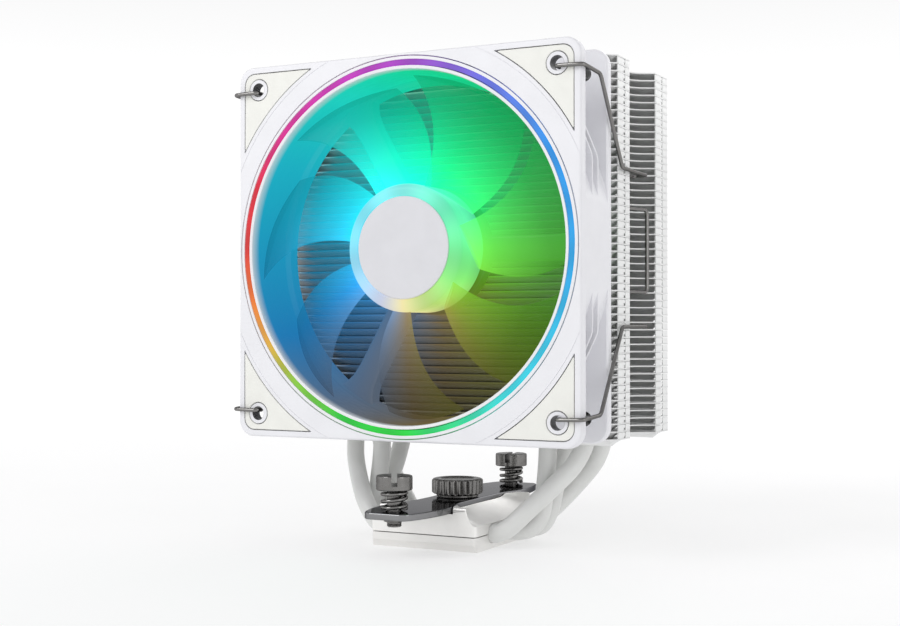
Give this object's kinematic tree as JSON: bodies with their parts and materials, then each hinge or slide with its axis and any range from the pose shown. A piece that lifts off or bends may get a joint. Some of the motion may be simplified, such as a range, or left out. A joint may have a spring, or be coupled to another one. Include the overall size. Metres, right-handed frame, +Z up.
{
  "type": "cpu tower cooler",
  "caption": "Tower cooler for a processor: bent heat pipes through a stack of thin fins, a clipped-on lit fan in front, and a base with a sprung bracket bar.",
  "frame": {"origin": "centre of the base plate's contact face", "axes": "+Z up along the tower, -Y the fan's open front, +X to the right seen from the front"},
  "size_m": [0.124, 0.0986, 0.1575],
  "materials": {
    "frame_plastic": "satin",
    "cap_plastic": "satin",
    "pad_rubber": "matte",
    "ring_diffuser": "gloss",
    "frosted_plastic": "satin",
    "blank_disc": "matte",
    "fin_paint": "satin",
    "pipe_paint": "satin",
    "nickel_plate": "satin",
    "nickel_block": "satin",
    "polished_bar": "polished",
    "screw_steel": "satin",
    "knurled_steel": "satin",
    "clip_wire": "satin",
    "circuit_board": "satin",
    "core_steel": "satin",
    "magnet_ferrite": "matte",
    "coil_copper": "gloss",
    "bearing_bronze": "satin"
  },
  "bodies": {
    "tower": {"base_plate": "nickel_plate", "base_block": "nickel_block", "front_outer_heat_pipe": "pipe_paint", "rear_outer_heat_pipe": "pipe_paint", "front_inner_heat_pipe": "pipe_paint", "rear_inner_heat_pipe": "pipe_paint", "fin_stack": "fin_paint", "bracket_bar": "polished_bar", "fan_frame": "frame_plastic", "front_top_right_pad": "pad_rubber", "front_top_left_pad": "pad_rubber", "front_bottom_left_pad": "pad_rubber", "front_bottom_right_pad": "pad_rubber", "rear_top_right_pad": "pad_rubber", "rear_top_left_pad": "pad_rubber", "rear_bottom_left_pad": "pad_rubber", "rear_bottom_right_pad": "pad_rubber", "light_ring": "ring_diffuser", "ring_trim": "frame_plastic", "ring_led_board": "circuit_board", "bearing_tube": "frame_plastic", "bearing_sleeve": "bearing_bronze", "stator_core": "core_steel", "stator_coil_1": "coil_copper", "stator_coil_2": "coil_copper", "stator_coil_3": "coil_copper", "stator_coil_4": "coil_copper", "motor_board": "circuit_board", "mount_blank_disc": "blank_disc", "front_screw_spring": "screw_steel", "rear_screw_spring": "screw_steel"},
    "fan_rotor": {"rotor": "frosted_plastic", "hub_cap": "cap_plastic", "rotor_yoke": "core_steel", "rotor_magnet": "magnet_ferrite", "rotor_shaft": "screw_steel", "shaft_clip": "screw_steel"},
    "right_clip": {"right_fan_clip": "clip_wire"},
    "left_clip": {"left_fan_clip": "clip_wire"},
    "front_screw_ring": {"front_screw_clip": "screw_steel"},
    "front_screw": {"front_spring_screw": "screw_steel"},
    "rear_screw_ring": {"rear_screw_clip": "screw_steel"},
    "rear_screw": {"rear_spring_screw": "screw_steel"},
    "thumb_washer": {"thumb_screw_washer": "knurled_steel"},
    "thumb_screw": {"thumb_screw": "knurled_steel"}
  },
  "joints": [
    {"name": "rotor_spin", "type": "hinge", "parent": "tower", "child": "fan_rotor", "pos_m": [0, -0.0275, 0.095], "axis": [0, -1, 0], "continuous": true},
    {"name": "right_clip_swing", "type": "hinge", "parent": "tower", "child": "right_clip", "pos_m": [0.0525, -0.0406, 0.095], "axis": [0, 0, -1], "range_deg": [0, 15]},
    {"name": "left_clip_swing", "type": "hinge", "parent": "tower", "child": "left_clip", "pos_m": [-0.0525, -0.0406, 0.095], "axis": [0, 0, 1], "range_deg": [0, 15]},
    {"name": "thumb_screw_lift", "type": "slide", "parent": "tower", "child": "thumb_washer", "axis": [0, 0, 1], "range_m": [0, 0.002]},
    {"name": "thumb_screw_turn", "type": "hinge", "parent": "thumb_washer", "child": "thumb_screw", "pos_m": [0, 0, 0.0178], "axis": [0, 0, 1], "range_deg": [0, 720]},
    {"name": "front_screw_press", "type": "slide", "parent": "tower", "child": "front_screw_ring", "axis": [0, 0, 1], "range_m": [-0.0028, 0], "stiffness_N_per_m": 1500, "springref_m": 0.0005, "deforming": ["front_screw_spring"]},
    {"name": "front_screw_turn", "type": "hinge", "parent": "front_screw_ring", "child": "front_screw", "pos_m": [0, -0.04275, 0.0178], "axis": [0, 0, 1], "continuous": true},
    {"name": "rear_screw_press", "type": "slide", "parent": "tower", "child": "rear_screw_ring", "axis": [0, 0, 1], "range_m": [-0.0028, 0], "stiffness_N_per_m": 1500, "springref_m": 0.0005, "deforming": ["rear_screw_spring"]},
    {"name": "rear_screw_turn", "type": "hinge", "parent": "rear_screw_ring", "child": "rear_screw", "pos_m": [0, 0.04275, 0.0178], "axis": [0, 0, 1], "continuous": true}
  ],
  "couplings": [
    {"joint": "thumb_screw_lift", "follows": "thumb_screw_turn", "m_per_rad": 0.00015915}
  ]
}
